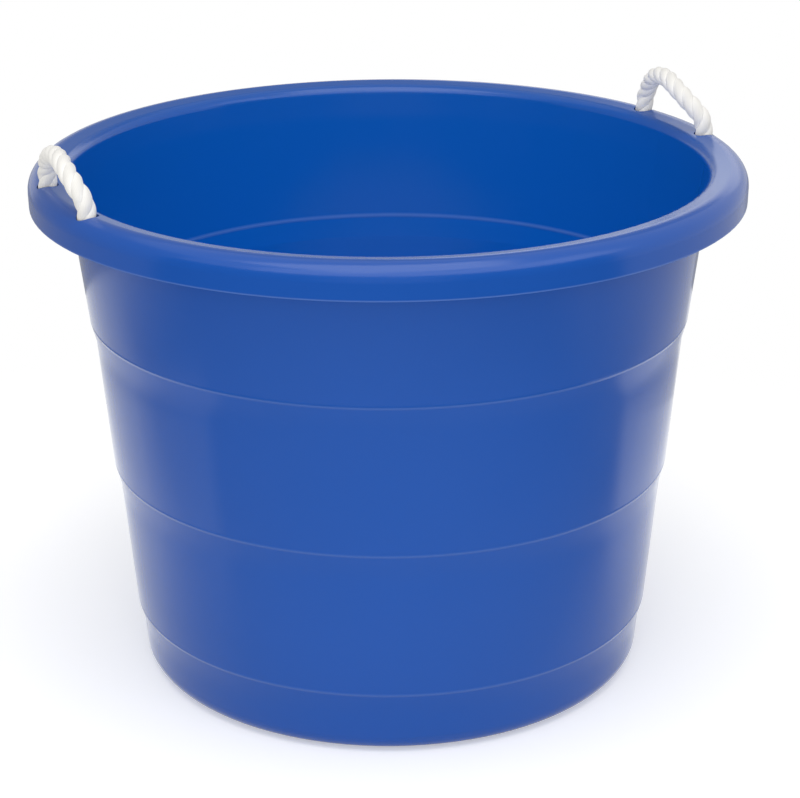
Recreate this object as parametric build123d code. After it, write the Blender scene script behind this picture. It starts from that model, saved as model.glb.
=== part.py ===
from build123d import *
import math
import os

# A round utility tub: one moulding with a stepped, tapering wall and a rolled rim,
# and two loops of twisted rope that pass down through holes in the rim and are
# knotted under it. Millimetres, +Z up, origin on the floor under the tub's centre,
# rope loops on the -X (left) and +X (right) sides.

# Tub
tub_height = 423.0           # floor to the crest of the rim
rim_radius = 286.0           # widest point of the rolled rim
rim_width = 34.0             # inside of the wall to the widest point, level with the skirt's edge
rim_depth = 26.5             # crest of the rim to the lower edge of its skirt
rim_outer_round = 14.0       # rounding of the deck into the skirt
rim_inner_round = 9.0        # rounding of the wall into the deck
deck_slope = 9.0             # degrees that the deck falls towards the inside
skirt_slope = 1.0            # degrees that the skirt draws in below the widest point
wall = 2.6                   # thickness of the moulding
top_draft = 6.85             # degrees of taper of the wall above the top step
wall_draft = 5.05            # degrees of taper of the bands below it

# Steps in the wall, counted from the floor
step_count = 3
first_step_height = 54.3
step_pitch = 123.8
step_in = 4.3                # how far a shoulder brings the wall in
step_drop = 16.5             # height of the sloping shoulder
step_round = 0.8             # inside rounding of a shoulder's upper edge
step_hollow = 4.0            # inside rounding of a shoulder's lower edge

# Base
base_round = 12.4            # inside corner between the floor and the wall
foot_width = 32.0            # foot ring, from the wall to the slope round the raised floor panel
panel_rise = 4.0             # height of that panel above the foot ring
panel_ramp = 8.0             # width of the slope round the panel
panel_round = 4.0            # roundings at the top and bottom of that slope

# Rope, its holes and its knots
rope_diameter = 14.5
hole_clearance = 1.3         # between the rope and the edge of its hole, all round
hole_spacing = 95.0          # between the two holes of one loop
slack = 8.0                  # how far a loop can be drawn up before its knots seat
seat_gap = 0.4               # least gap between a seated knot and the rim
knot_clearance = 1.7         # between a knot and the sides of the rim's channel
knot_squeeze = 0.74          # how thin the rope is drawn where it turns in a knot
turn_limit = 0.45            # most of the knot's radius that the turned rope may fill, so its ring stays open
turn_tilt = 18.0             # degrees that the turn in a knot slants, up towards the skirt
turn_corners = 16            # flat runs that make up the turn
turn_sides = 8               # flat sides of the rope in the turn
tail_length = 7.0            # rope end below the turn
tail_chamfer = 1.5           # on the cut rope end

# Bending point of each rope leg, above its hole
bend_height = 7.5            # above the crest of the rim
bend_gap = 0.3               # between the arch's rounded foot and the leg below it

# Rope loops, as points from the front hole to the rear one: the share of half the
# spacing along the rim, millimetres outwards from the line of the holes, and
# millimetres above the crest. The first and last points are the bending points.
left_route = [
    (-1.00, 0.0, bend_height),
    (-0.91, 4.8, 17.6),
    (-0.66, 7.4, 26.9),
    (-0.33, 7.6, 32.8),
    (0.02, 6.0, 33.9),
    (0.37, 4.7, 30.8),
    (0.675, 2.5, 23.8),
    (0.90, 0.6, 17.0),
    (1.00, 0.0, bend_height),
]
right_route = [
    (-1.00, 0.0, bend_height),
    (-0.915, -3.2, 15.6),
    (-0.725, -7.7, 23.5),
    (-0.39, -10.9, 33.0),
    (-0.01, -8.7, 37.9),
    (0.395, -6.1, 35.7),
    (0.695, -3.0, 27.4),
    (0.90, 0.4, 17.4),
    (1.00, 0.0, bend_height),
]
arc_share = 0.45             # part of the shorter run that an arc takes up

# Sizes that follow from the ones above
top_taper = math.tan(math.radians(top_draft))
wall_taper = math.tan(math.radians(wall_draft))
deck_fall = math.tan(math.radians(deck_slope))
skirt_draw = math.tan(math.radians(skirt_slope))
skirt_edge = tub_height - rim_depth
round_height = tub_height - rim_outer_round
crest_radius = rim_radius - rim_outer_round
mouth_radius = rim_radius - rim_width
rope_radius = rope_diameter / 2
hole_radius = rope_radius + hole_clearance
half_spacing = hole_spacing / 2
hole_angle = math.asin(half_spacing / crest_radius)
loop_offset = crest_radius * math.cos(hole_angle)
bend_level = tub_height + bend_height


def crossing(start, run, other_start, other_run):
    """Point where two straight lines of the section meet."""
    turn = run[0] * other_run[1] - run[1] * other_run[0]
    apart = (other_start[0] - start[0], other_start[1] - start[1])
    share = (apart[0] * other_run[1] - apart[1] * other_run[0]) / turn
    return start[0] + share * run[0], start[1] + share * run[1]


def on_outer_round(angle):
    """Point of the rim's outer rounding, at an angle in degrees above the widest point."""
    turned = math.radians(angle)
    radius = crest_radius + rim_outer_round * math.cos(turned)
    return radius, round_height + rim_outer_round * math.sin(turned)


deck_start = on_outer_round(90 + deck_slope)
skirt_start = on_outer_round(-skirt_slope)
skirt_end = (skirt_start[0] - (skirt_start[1] - skirt_edge) * skirt_draw, skirt_edge)


def wall_corners():
    """Wall from the floor up to the top step, as (radius, height, rounding)."""
    corners = []
    radius, height, taper = mouth_radius, skirt_edge, top_taper
    for step in reversed(range(step_count)):
        step_height = first_step_height + step * step_pitch
        radius -= (height - step_height) * taper
        corners.append((radius, step_height, step_round))
        radius -= step_in
        height, taper = step_height - step_drop, wall_taper
        corners.append((radius, height, step_hollow))
    radius -= (height - wall) * taper
    corners.append((radius, wall, base_round))
    return corners[::-1]


def base_corners(wall_foot):
    """Floor from the centre to the foot of the wall, as (radius, height, rounding)."""
    ramp_foot = wall_foot - foot_width
    return [
        (0, wall + panel_rise, 0),
        (ramp_foot - panel_ramp, wall + panel_rise, panel_round),
        (ramp_foot, wall, panel_round),
    ]


def rim_corners():
    """Rim from the top of the wall to the skirt's edge, as (radius, height, rounding)."""
    inner = crossing((mouth_radius, skirt_edge), (top_taper, 1), deck_start, (1, deck_fall))
    outer = crossing(skirt_start, (skirt_draw, 1), deck_start, (1, deck_fall))
    return [(*inner, rim_inner_round), (*outer, rim_outer_round), (*skirt_end, 0)]


def make_tub():
    """The moulding: its inside outline thickened outwards, turned round, and drilled for the ropes."""
    wall_line = wall_corners()
    corners = base_corners(wall_foot=wall_line[0][0]) + wall_line + rim_corners()
    with BuildSketch(Plane.XZ) as section:
        with BuildLine():
            inside = FilletPolyline(
                *[(radius, height) for radius, height, rounding in corners],
                radius=[rounding for radius, height, rounding in corners[1:-1]],
            )
            offset(inside, amount=wall, side=Side.RIGHT, closed=True)
        make_face()
    tub = revolve(section.sketch, Axis.Z)
    for side in (-1, 1):
        for end in (-1, 1):
            drill = Cylinder(hole_radius, 2 * rim_outer_round)
            tub -= Pos(side * loop_offset, end * half_spacing, tub_height) * drill
    return tub


def make_arch(name, side, route):
    """Free stretch of one rope: a tube of straight runs and tangent arcs with rounded feet."""
    points = []
    for along, outwards, up in route:
        points.append(Vector(side * (loop_offset + outwards), along * half_spacing, tub_height + up))
    runs = [after - before for before, after in zip(points, points[1:])]
    radii = []
    for run, next_run in zip(runs, runs[1:]):
        half_turn = math.radians(run.get_angle(next_run)) / 2
        radii.append(arc_share * min(run.length, next_run.length) / math.tan(half_turn))
    path = FilletPolyline(*points, radius=radii)
    tube = sweep(Plane(path @ 0, z_dir=path % 0) * Circle(rope_radius), path)
    expected = math.pi * rope_radius**2 * path.length
    print(name, "arc radii", [round(radius, 1) for radius in radii])
    print(name, "length", round(path.length, 1), "volume ratio", round(tube.volume / expected, 4))
    for foot in (points[0], points[-1]):
        tube += Pos(foot) * Sphere(rope_radius)
    return tube


def make_turn(ring_radius, turn_radius):
    """The rope's turn round itself in a knot: a flat-sided ring, lying level."""
    step = 2 * math.pi / turn_corners
    corners = []
    for count in range(turn_corners):
        angle = (count + 0.5) * step
        corners.append((ring_radius * math.cos(angle), ring_radius * math.sin(angle)))
    start = (ring_radius * math.cos(step / 2), 0)
    path = Polyline(start, *corners, close=True)
    section = Plane(path @ 0, x_dir=(1, 0, 0), z_dir=(0, 1, 0)) * RegularPolygon(turn_radius, turn_sides)
    return sweep(section, path, transition=Transition.RIGHT)


def make_knot(side, end):
    """One rope end: the leg in its hole, the turn drawn tight under the rim, and the tail."""
    wall_outside = mouth_radius + wall
    skirt_inside = skirt_end[0] - wall
    knot_radius = (skirt_inside - wall_outside) / 2 - knot_clearance
    knot_offset = (skirt_inside + wall_outside) / 2
    turn_radius = min(knot_squeeze * rope_radius, turn_limit * knot_radius)
    ring_radius = knot_radius - turn_radius
    tilt = math.radians(turn_tilt)
    ring_rise = ring_radius * math.sin(tilt)

    # The turn's high side stops a seated knot under the rim's outer rounding.
    seat_radius = rim_outer_round - wall - seat_gap - turn_radius
    seat_offset = knot_offset + ring_radius * math.cos(tilt) - crest_radius
    seat_level = round_height + math.sqrt(seat_radius**2 - seat_offset**2)
    ring_level = seat_level - ring_rise - slack
    leg_top = bend_level - rope_radius - bend_gap
    tail_end = ring_level - ring_rise - turn_radius - tail_length

    leg = Pos(crest_radius, 0, (leg_top + ring_level) / 2) * Cylinder(rope_radius, leg_top - ring_level)
    tail = Cylinder(rope_radius, ring_level - tail_end)
    tail = chamfer(tail.edges().sort_by(Axis.Z)[0], tail_chamfer)
    tail = Pos(knot_offset, 0, (ring_level + tail_end) / 2) * tail
    turn = Pos(knot_offset, 0, ring_level) * Rot(Y=-turn_tilt) * make_turn(ring_radius, turn_radius)
    hole = math.degrees(math.atan2(end * half_spacing, side * loop_offset))
    return Rot(Z=hole) * (leg + tail + turn)


pieces = {
    "tub_shell": make_tub(),
    "left_rope_arch": make_arch("left_rope_arch", -1, left_route),
    "right_rope_arch": make_arch("right_rope_arch", 1, right_route),
}
for side_name, side in (("left", -1), ("right", 1)):
    for end_name, end in (("front", -1), ("rear", 1)):
        pieces[f"{side_name}_{end_name}_knot"] = make_knot(side, end)

os.makedirs("parts", exist_ok=True)
for name, piece in pieces.items():
    export_step(piece, f"parts/{name}.step")
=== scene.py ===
import math

import bpy
import numpy as np
from mathutils import Matrix, Vector


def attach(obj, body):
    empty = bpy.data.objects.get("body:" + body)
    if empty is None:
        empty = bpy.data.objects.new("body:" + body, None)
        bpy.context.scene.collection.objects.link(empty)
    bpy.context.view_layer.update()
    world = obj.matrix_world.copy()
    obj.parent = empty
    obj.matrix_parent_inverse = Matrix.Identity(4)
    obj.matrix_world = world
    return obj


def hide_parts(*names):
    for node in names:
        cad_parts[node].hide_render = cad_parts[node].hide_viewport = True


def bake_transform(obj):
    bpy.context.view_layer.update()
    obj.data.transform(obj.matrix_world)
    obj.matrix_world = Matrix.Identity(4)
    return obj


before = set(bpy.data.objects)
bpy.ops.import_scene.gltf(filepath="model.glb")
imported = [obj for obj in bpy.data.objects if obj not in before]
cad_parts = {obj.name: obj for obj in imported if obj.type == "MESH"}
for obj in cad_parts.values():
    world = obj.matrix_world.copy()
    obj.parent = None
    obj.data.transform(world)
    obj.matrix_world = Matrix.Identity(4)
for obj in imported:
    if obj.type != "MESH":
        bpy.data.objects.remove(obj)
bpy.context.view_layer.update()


# The tub
# One moulding in deep blue polyethylene, semi-gloss on the walls and a little duller on the
# rolled rim. The modelled node stays, holes and all, and gets the look of the moulding.


class Wire:
    """An output socket of a material that can be used in sums: each operator adds a Math node."""

    def __init__(self, tree, socket):
        self.tree = tree
        self.socket = socket

    def node(self, kind, inputs, output=0, **settings):
        """Adds any other node, feeds its inputs by name or number, and gives one of its outputs."""
        made = self.tree.nodes.new(kind)
        for name, value in settings.items():
            setattr(made, name, value)
        for place, value in inputs.items():
            if isinstance(value, Wire):
                self.tree.links.new(value.socket, made.inputs[place])
            else:
                made.inputs[place].default_value = value
        return Wire(self.tree, made.outputs[output])

    def math(self, operation, *values):
        return self.node("ShaderNodeMath", dict(enumerate(values)), operation=operation)

    def __add__(self, other):
        return self.math("ADD", self, other)

    def __radd__(self, other):
        return self.math("ADD", other, self)

    def __sub__(self, other):
        return self.math("SUBTRACT", self, other)

    def __rsub__(self, other):
        return self.math("SUBTRACT", other, self)

    def __mul__(self, other):
        return self.math("MULTIPLY", self, other)

    def __rmul__(self, other):
        return self.math("MULTIPLY", other, self)

    def __truediv__(self, other):
        return self.math("DIVIDE", self, other)

    def __rtruediv__(self, other):
        return self.math("DIVIDE", other, self)

    def __pow__(self, other):
        return self.math("POWER", self, other)

    def __rpow__(self, other):
        return self.math("POWER", other, self)

    def feed(self, socket):
        """Leads the wire into a shader's socket."""
        self.tree.links.new(self.socket, socket)


def start_material(name, coordinates):
    """A new principled material, its shader, and the wire of its coordinates."""
    material = bpy.data.materials.new(name)
    material.use_nodes = True
    tree = material.node_tree
    shader = tree.nodes["Principled BSDF"]
    return material, shader, Wire(tree, tree.nodes.new("ShaderNodeTexCoord").outputs[coordinates])


def ramp(value, start, end, **settings):
    """From 0 to 1 while the value goes from the start to the end."""
    return value.node("ShaderNodeMapRange", {0: value, 1: start, 2: end}, "Result", **settings)


def vector(operation, first, second=(0, 0, 0)):
    """A vector worked out from one or two others."""
    return first.node("ShaderNodeVectorMath", {0: first, 1: second}, "Vector", operation=operation)


def measure(operation, first, second=(0, 0, 0)):
    """A number worked out from one or two vectors."""
    return first.node("ShaderNodeVectorMath", {0: first, 1: second}, "Value", operation=operation)


def mix(kind, factor, first, second):
    """From one colour or vector to another while the factor goes from 0 to 1."""
    place, output = {"VECTOR": (4, 1), "RGBA": (6, 2)}[kind]
    inputs = {"Factor": factor, place: first, place + 1: second}
    return factor.node("ShaderNodeMix", inputs, output, data_type=kind)


first_step = 0.0543
step_pitch = 0.1238
top_step = first_step + 2 * step_pitch
skirt_edge = 0.3965
plastic, shader, place = start_material("tub_plastic", "Object")
shader.inputs["IOR"].default_value = 1.5
shader.inputs["Specular IOR Level"].default_value = 0.38
height = place.node("ShaderNodeSeparateXYZ", {0: place}, "Z")
flat = vector("MULTIPLY", place, (1, 1, 0))
radius = measure("LENGTH", flat)
normal = place.node("ShaderNodeTexCoord", {}, "Normal")
inside = place.math("LESS_THAN", measure("DOT_PRODUCT", normal, flat), 0.0)
on_rim = ramp(height, 0.390, 0.398)
on_skirt = ramp(radius, 0.268, 0.272)
cloud = place.node("ShaderNodeTexNoise", {"Vector": place, "Scale": 7.0, "Detail": 2.0}, "Fac")
peel = place.node("ShaderNodeTexNoise", {"Vector": place, "Scale": 260.0, "Detail": 0.0}, "Fac")

# Painted highlights: hairlines painted a lighter blue just under the three steps, higher, wider
# and stronger inside, and along the skirt's edge, where these edges catch the light. The step
# lines also raise a small ridge in the bump.
step_gap = height - (first_step - 0.0005) - 0.0030 * inside
step_gap = place.math("PINGPONG", step_gap, step_pitch / 2)
step_line = ramp(step_gap, 0.0017 + 0.0006 * inside, 0.0) * (1 - on_rim)
skirt_gap = place.math("ABSOLUTE", height - (skirt_edge + 0.0002))
skirt_line = ramp(skirt_gap, 0.0012, 0.0003) * on_skirt
painted_edge_highlight = (0.12 + 0.08 * inside) * step_line + 0.22 * skirt_line

tone = mix("RGBA", cloud, (0.0065, 0.071, 0.345, 1), (0.0085, 0.077, 0.372, 1))
# Painted light: the inside is painted a more saturated blue, standing in for light its walls
# bounce.
tone = mix("RGBA", inside, tone, (0.0020, 0.077, 0.360, 1))
# Painted highlight: the hairlines take a lighter blue.
tone = mix("RGBA", painted_edge_highlight, tone, (0.25, 0.36, 0.62, 1))
tone.feed(shader.inputs["Base Color"])
roughness = 0.09 + 0.09 * on_rim + 0.05 * cloud
roughness.feed(shader.inputs["Roughness"])

# The rim's two roundings are shaded from their middles, not from the model's facets. Each row
# gives the middle's radius and height, the rounding, and on which side of which radius and above
# which height it lies.
outwards = vector("NORMALIZE", flat)
for middle, level, rounding, way, end, foot in (
    (0.26300, 0.41264, 0.009, 1, 0.26159, 0.41371),
    (0.27200, 0.40900, 0.014, -1, 0.26981, 0.40876),
):
    spoke = vector("SUBTRACT", place, vector("MULTIPLY", outwards, (middle, middle, middle)))
    spoke = vector("SUBTRACT", spoke, (0, 0, level))
    rounded = place.math("LESS_THAN", way * radius, way * end)
    rounded = rounded * place.math("GREATER_THAN", height, foot)
    rounded = rounded * place.math("GREATER_THAN", measure("LENGTH", spoke), rounding - 0.0005)
    normal = mix("VECTOR", rounded, normal, vector("NORMALIZE", spoke))

# Below each step the outside is shaded as one soft bend, as deep as the modelled shoulder: from
# the shoulder's lean at the step to the wall's lean where the bend ends.
wall_lean = 0.0884
shoulder_lean = 0.2606
bend_end = 0.030
drop = step_pitch * (1 - place.math("FRACT", (height - first_step) / step_pitch))
bend = ramp(drop, bend_end, 0.003, interpolation_type="SMOOTHSTEP")
lean = -wall_lean - (shoulder_lean - wall_lean) * bend
bent = vector("ADD", outwards, place.node("ShaderNodeCombineXYZ", {"Z": lean}))
below_step = place.math("LESS_THAN", drop, bend_end)
below_step = below_step * place.math("LESS_THAN", height, top_step - 0.0001) * (1 - inside)
normal = mix("VECTOR", below_step, normal, vector("NORMALIZE", bent))

relief = 0.000004 * peel + 0.00030 * step_line
bump = {"Height": relief, "Strength": 1.0, "Distance": 1.0, "Normal": normal}
place.node("ShaderNodeBump", bump, "Normal").feed(shader.inputs["Normal"])

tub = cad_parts["tub_shell"]
for slot in tub.material_slots:
    slot.material = plastic


# The rope loops
# Half-inch rope of three strands, laid right-handed, soft and off-white. Each passes down
# through its two holes, is knotted under the rim, and stands in an arch by its own stiffness.


def rope_line(points):
    """Smooth line of a rope, as an array: a NURBS spline with the points as its control points."""
    curve = bpy.data.curves.new("rope_line", "CURVE")
    curve.dimensions = "3D"
    curve.resolution_u = 20
    spline = curve.splines.new("NURBS")
    spline.points.add(len(points) - 1)
    for control, point in zip(spline.points, points):
        control.co = (*point, 1)
    spline.order_u = 3
    spline.use_endpoint_u = True
    carrier = bpy.data.objects.new("rope_line", curve)
    mesh = bpy.data.meshes.new_from_object(carrier)
    line = np.empty(3 * len(mesh.vertices))
    mesh.vertices.foreach_get("co", line)
    bpy.data.objects.remove(carrier)
    bpy.data.meshes.remove(mesh)
    return line.reshape(-1, 3)


def unit(vectors):
    """The same directions, each with a length of one."""
    return vectors / np.linalg.norm(vectors, axis=-1, keepdims=True)


def lay_rope(name, line, radius, lay):
    """Three strands laid round a line, as one mesh of three closed tubes.

    Each strand is a third of the rope: at the angle t from its middle, up to 60 degrees either
    way, its outside stands at radius (1 - 0.18 (1 - cos 1.5 t)) from the line, and it closes
    inside near the line. The strands turn once round the line in one lay.
    """
    along = unit(np.gradient(line, axis=0))
    normals = [unit(np.cross(along[0], (0.3, 0.9, 0.1)))]
    for direction in along[1:]:
        normals.append(unit(normals[-1] - normals[-1].dot(direction) * direction))
    normals = np.array(normals)[:, None]
    sideways = np.cross(along[:, None], normals)
    length = np.append(0, np.cumsum(np.linalg.norm(np.diff(line, axis=0), axis=1)))
    radius = np.broadcast_to(radius, len(line))[:, None]
    outside = np.radians(np.linspace(-60, 60, 19))
    spread = np.concatenate([outside, np.radians([45, 0, -45])])
    shape = np.concatenate([1 - 0.18 * (1 - np.cos(1.5 * outside)), [0.3, 0.06, 0.3]])
    sides = len(spread)
    ring, side = np.meshgrid(np.arange(len(line) - 1), np.arange(sides), indexing="ij")
    following = (side + 1) % sides
    corners = (ring * sides + side, ring * sides + following)
    corners += ((ring + 1) * sides + following, (ring + 1) * sides + side)
    quads = np.stack(corners, axis=-1).reshape(-1, 4)
    cut_ends = np.zeros(2 * sides)
    places, faces, runs, turns = [], [], [], []
    for strand in range(3):
        start = strand * sides * len(line)
        angle = (spread + 2 * math.pi * (length[:, None] / lay + strand / 3))[:, :, None]
        spokes = np.cos(angle) * normals + np.sin(angle) * sideways
        rings = line[:, None] + (radius * shape)[:, :, None] * spokes
        places.append(rings.reshape(-1, 3))
        faces += (start + quads).tolist()
        faces.append((start + np.arange(sides))[::-1].tolist())
        faces.append((start + sides * (len(line) - 1) + np.arange(sides)).tolist())
        runs += [length[quads // sides].ravel(), cut_ends]
        turns += [spread[quads % sides].ravel() / (2 * math.pi) + strand / 3, cut_ends]
    mesh = bpy.data.meshes.new(name)
    mesh.from_pydata(np.concatenate(places).tolist(), [], faces)
    layer = mesh.uv_layers.new(name="yarn")
    yarn_places = np.stack([np.concatenate(runs), np.concatenate(turns)], axis=-1)
    layer.data.foreach_set("uv", yarn_places.ravel())
    mesh.shade_smooth()
    made = bpy.data.objects.new(name, mesh)
    bpy.context.scene.collection.objects.link(made)
    return made


yarn_count = 33
yarn_lay = 0.040
cotton, shader, place = start_material("rope", "UV")
shader.inputs["Specular IOR Level"].default_value = 0.2
shader.inputs["Sheen Weight"].default_value = 0.3
shader.inputs["Sheen Roughness"].default_value = 0.5
run = place.node("ShaderNodeSeparateXYZ", {0: place}, "X")
turn = place.node("ShaderNodeSeparateXYZ", {0: place}, "Y")
body = place.node("ShaderNodeTexCoord", {}, "Object")
fuzz = place.node("ShaderNodeTexNoise", {"Vector": body, "Scale": 1500.0, "Detail": 3.0}, "Fac")
patch = place.node("ShaderNodeTexNoise", {"Vector": body, "Scale": 120.0, "Detail": 2.0}, "Fac")
yarn = place.math("SINE", 2 * math.pi * yarn_count * (turn + run / yarn_lay) + 3.0 * patch)
# Painted light: the strands are painted paler towards their grooves, lifting the shade there.
painted_groove_light = 6 * place.math("PINGPONG", turn, 1 / 6)
yarn_tone_and_painted_light = 0.35 * patch + 0.2 * fuzz + 0.08 * yarn + 0.55 * painted_groove_light**2
tone = mix("RGBA", yarn_tone_and_painted_light, (0.73, 0.715, 0.675, 1), (0.91, 0.895, 0.86, 1))
tone.feed(shader.inputs["Base Color"])
roughness = 0.75 + 0.15 * fuzz
roughness.feed(shader.inputs["Roughness"])
relief = 0.00006 * yarn + 0.00015 * fuzz
bump = {"Height": relief, "Strength": 0.7, "Distance": 1.0}
place.node("ShaderNodeBump", bump, "Normal").feed(shader.inputs["Normal"])

# Each route runs from the front hole to the rear one, as the share of half the spacing along the
# rim, metres outwards from the line of the holes, and metres above the rim.
loop_offset = 0.26782
half_spacing = 0.0475
rim_top = 0.423
leg_bottom = 0.4085
bend_height = 0.0075
rope_radius = 0.0075
rope_lay = 0.036
left_route = [
    (-1.00, 0.0000, bend_height),
    (-0.91, 0.0048, 0.0176),
    (-0.66, 0.0074, 0.0269),
    (-0.33, 0.0076, 0.0328),
    (0.02, 0.0060, 0.0339),
    (0.37, 0.0047, 0.0308),
    (0.675, 0.0025, 0.0238),
    (0.90, 0.0006, 0.0170),
    (1.00, 0.0000, bend_height),
]
right_route = [
    (-1.00, 0.0000, bend_height),
    (-0.915, -0.0032, 0.0156),
    (-0.725, -0.0077, 0.0235),
    (-0.39, -0.0109, 0.0330),
    (-0.01, -0.0087, 0.0379),
    (0.395, -0.0061, 0.0357),
    (0.695, -0.0030, 0.0274),
    (0.90, 0.0004, 0.0174),
    (1.00, 0.0000, bend_height),
]
for side_name, side, route in (("left", -1, left_route), ("right", 1, right_route)):
    points = [(side * loop_offset, -half_spacing, leg_bottom)]
    for along, out, up in route:
        points.append((side * (loop_offset + out), along * half_spacing, rim_top + up))
    points.append((side * loop_offset, half_spacing, leg_bottom))
    line = rope_line(points)
    rope = lay_rope(f"{side_name}_rope", line, rope_radius, rope_lay)
    rope.data.materials.append(cotton)
    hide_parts(f"{side_name}_rope_arch")
    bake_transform(rope)


# The knots
# Each rope end takes a turn round itself under the rim, drawn tight in the channel behind the
# skirt, and its cut tail hangs just below. The knots stop the rope from pulling through.

# The route goes down the leg, round the turn, which slants up towards the skirt, and down the
# tail, as metres outwards from the hole, metres along the rim, and height.
turn_radius = 0.0076
turn_offset = -0.0031
turn_level = 0.4030
slant_out, slant_up = 0.951, 0.309
knot_route = [(0.0, 0.0, 0.4165), (0.0, 0.0, 0.4115), (0.0003, 0.0010, 0.4080)]
for angle in np.radians(np.arange(35, 306, 45)):
    out = turn_radius * math.cos(angle)
    along = turn_radius * math.sin(angle)
    knot_route.append((out * slant_out + turn_offset, along, turn_level + out * slant_up))
knot_route += [
    (0.0006, -0.0026, 0.4026),
    (-0.0020, -0.0005, 0.3990),
    (turn_offset, 0.0, 0.3962),
    (turn_offset, 0.0, 0.3934),
    (turn_offset, 0.0, 0.3908),
]
route_shares = [0, 0.1, 0.25, 0.65, 0.78, 0.9, 1]
route_radii = [0.0065, 0.0062, 0.0049, 0.0049, 0.0039, 0.0054, 0.0056]
hole_radius = math.hypot(half_spacing, loop_offset)
for side_name, side in (("left", -1), ("right", 1)):
    for end_name, end in (("front", -1), ("rear", 1)):
        hole = math.atan2(end * half_spacing, side * loop_offset)
        points = []
        for out, along, up in knot_route:
            x = (hole_radius + out) * math.cos(hole) - along * math.sin(hole)
            y = (hole_radius + out) * math.sin(hole) + along * math.cos(hole)
            points.append((x, y, up))
        line = rope_line(points)
        radii = np.interp(np.linspace(0, 1, len(line)), route_shares, route_radii)
        knot = lay_rope(f"{side_name}_{end_name}_rope_end", line, radii, rope_lay)
        knot.data.materials.append(cotton)
        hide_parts(f"{side_name}_{end_name}_knot")
        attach(knot, f"{side_name}_rope_ends")


# The studio
# A pale round floor that keeps the tub's shadow and fades out into white surroundings, a soft
# lamp behind the camera, one overhead and a small one inside the tub, cards that only reflections
# see, and the camera where the photograph was taken.

floor_material = bpy.data.materials.new("floor")
floor_material.use_nodes = True
tree = floor_material.node_tree
tree.nodes.clear()
place = Wire(tree, tree.nodes.new("ShaderNodeTexCoord").outputs["Object"])
camera_ray = place.node("ShaderNodeLightPath", {}, "Is Camera Ray")
glossy_ray = place.node("ShaderNodeLightPath", {}, "Is Glossy Ray")
from_middle = measure("LENGTH", place)
fade = ramp(from_middle, 0.70, 1.20, interpolation_type="SMOOTHSTEP")

# Reflections see a darker floor that glows behind the tub, close round it, in the floor's middle,
# and in a strip on both sides and behind, cut off in front by a line across the tub's axis.
from_tub = vector("SUBTRACT", place, (0.270, 0.370, 0))
around = measure("LENGTH", from_tub)
aside = measure("DOT_PRODUCT", from_tub, (0.9006, -0.4347, 0))
nearer = measure("DOT_PRODUCT", from_tub, (-0.4305, -0.9026, 0))
glow = 0.42 * ramp(measure("DISTANCE", from_tub, (0.387, 0.812, 0)), 1.14, 0.98)
glow = glow + 0.20 * ramp(around, 0.58, 0.30) + 0.16 * ramp(from_middle, 0.70, 0.30)
strip = ramp(nearer + 0.234 * aside, 0.19, 0.13)
strip = strip * ramp(around, 0.30, 0.50) * ramp(around, 0.76, 0.68)
glow = glow + (0.50 + 0.25 * aside) * strip

matte = place.node("ShaderNodeBsdfDiffuse", {"Color": 0.90 - 0.47 * glossy_ray}, "BSDF")
light = 0.34 * camera_ray + glow * glossy_ray
lift = place.node("ShaderNodeEmission", {"Color": light, "Strength": 1.0}, "Emission")
pale = place.node("ShaderNodeAddShader", {0: matte, 1: lift})
clear = place.node("ShaderNodeBsdfTransparent", {})
floor_shader = place.node("ShaderNodeMixShader", {0: fade, 1: pale, 2: clear})
floor_shader.feed(tree.nodes.new("ShaderNodeOutputMaterial").inputs["Surface"])
bpy.ops.mesh.primitive_circle_add(
    vertices=96, radius=1.25, fill_type="NGON", location=(-0.270, -0.370, -0.0004)
)
floor = bpy.context.object
floor.name = "floor"
floor.data.materials.append(floor_material)

world = bpy.data.worlds.new("studio")
bpy.context.scene.world = world
world.use_nodes = True
tree = world.node_tree
rays = tree.nodes.new("ShaderNodeLightPath").outputs
seen = Wire(tree, rays["Is Camera Ray"])
for kind in ("Is Glossy Ray", "Is Transmission Ray"):
    seen = seen.math("MAXIMUM", seen, Wire(tree, rays[kind]))
background = tree.nodes["Background"]
background.inputs["Color"].default_value = (1, 1, 1, 1)
(0.62 + 0.38 * seen).feed(background.inputs["Strength"])

for name, spot, aim, size, power in (
    ("softbox", (-1.55, -3.25, 0.90), (0.0, 0.0, 0.25), (2.2, 2.2), 50),
    ("overhead", (-0.37, -0.77, 2.50), (-0.37, -0.77, 0.0), (2.0, 1.8), 25),
):
    lamp = bpy.data.lights.new(name, "AREA")
    lamp.shape = "RECTANGLE"
    lamp.size, lamp.size_y = size
    lamp.energy = power
    made = bpy.data.objects.new(name, lamp)
    made.location = spot
    made.rotation_euler = (Vector(spot) - Vector(aim)).to_track_quat("Z", "Y").to_euler()
    made.visible_camera = False
    made.visible_glossy = name == "overhead"
    bpy.context.scene.collection.objects.link(made)

inside_lamp = bpy.data.lights.new("inside lamp", "POINT")
inside_lamp.energy = 1.0
inside_lamp.shadow_soft_size = 0.08
made = bpy.data.objects.new("inside lamp", inside_lamp)
made.location = (0.0, 0.0, 0.27)
made.visible_camera = False
made.visible_glossy = False
bpy.context.scene.collection.objects.link(made)

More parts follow.
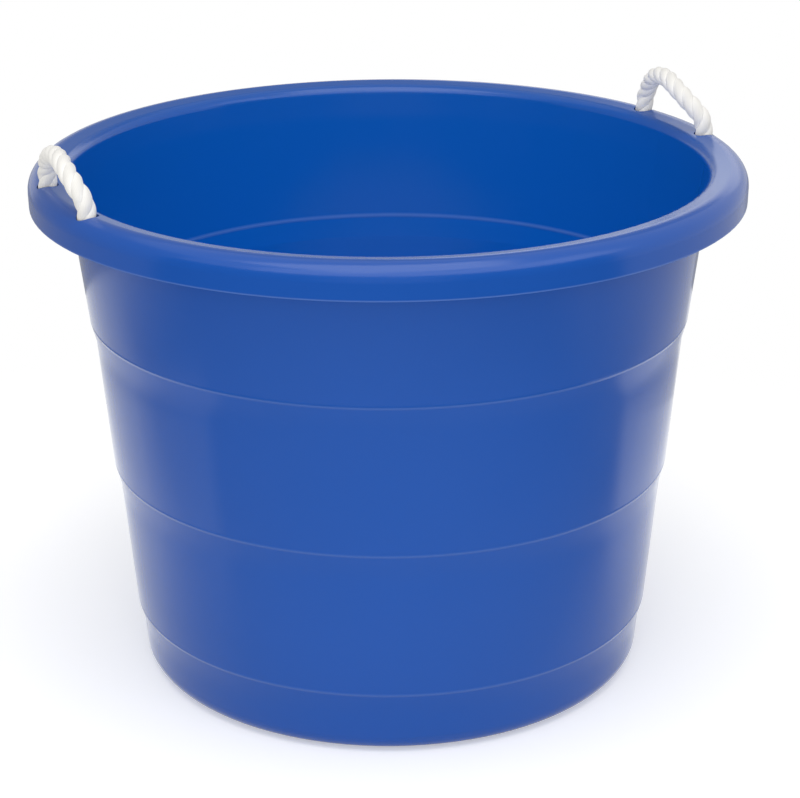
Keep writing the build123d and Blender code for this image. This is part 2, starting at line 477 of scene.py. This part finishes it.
# What only reflections see: a dark carpet and curtain round the camera with a bright panel above,
# and grey paper with brighter panels round the rest. Each is a fan about the tub: degrees from the
# camera towards its right where it starts and ends, its profile as radii and heights, and its
# brightness.
camera_turn = 25.8
for name, start, end, profile, shade in (
    ("curtain", -70, 70, [(0.95, 0.002), (3.0, 0.002), (3.0, 1.95)], 0.0),
    ("front panel", -45, 80, [(3.0, 1.95), (3.0, 4.0)], 2.1),
    ("paper", 145, 290, [(1.0, -0.002), (3.0, -0.002), (3.0, 3.4)], 0.43),
    ("right paper", 70, 145, [(0.66, -0.002), (2.0, -0.002)], 0.75),
    ("low panel", 145, 220, [(2.9, 0.0), (2.9, 0.9)], 0.85),
    ("right panel", 145, 179, [(2.9, 0.9), (2.9, 1.65)], 1.5),
):
    turns = np.radians(np.linspace(start, end, 41) - camera_turn)
    profile = np.array(profile)
    corners = np.stack(
        [
            np.outer(profile[:, 0], np.sin(turns)),
            np.outer(profile[:, 0], -np.cos(turns)),
            np.repeat(profile[:, 1:], len(turns), axis=1),
        ],
        axis=-1,
    )
    rows, columns = np.arange(len(profile) - 1), np.arange(len(turns) - 1)
    first = (rows[:, None] * len(turns) + columns).ravel()
    quads = np.stack([first, first + 1, first + len(turns) + 1, first + len(turns)], axis=-1)
    mesh = bpy.data.meshes.new(name)
    mesh.from_pydata(corners.reshape(-1, 3).tolist(), [], quads.tolist())
    material, shader, place = start_material(name, "Object")
    shader.inputs["Base Color"].default_value = (0, 0, 0, 1)
    shader.inputs["Specular IOR Level"].default_value = 0.0
    shader.inputs["Emission Color"].default_value = (1, 1, 1, 1)
    shader.inputs["Emission Strength"].default_value = shade
    mesh.materials.append(material)
    made = bpy.data.objects.new(name, mesh)
    made.visible_camera = False
    made.visible_diffuse = False
    made.visible_transmission = False
    made.visible_shadow = False
    bpy.context.scene.collection.objects.link(made)

lens = bpy.data.cameras.new("camera")
lens.sensor_width = 36
lens.lens = 103.1
camera = bpy.data.objects.new("camera", lens)
camera.matrix_world = (
    Matrix.Translation((-0.7660, -1.6060, 0.8976))
    @ Matrix.Rotation(math.radians(-25.769), 4, "Z")
    @ Matrix.Rotation(math.pi / 2 - 0.3659, 4, "X")
    @ Matrix.Rotation(-0.0053, 4, "Z")
)
bpy.context.scene.collection.objects.link(camera)
bpy.context.scene.camera = camera
bpy.context.scene.view_settings.view_transform = "Standard"
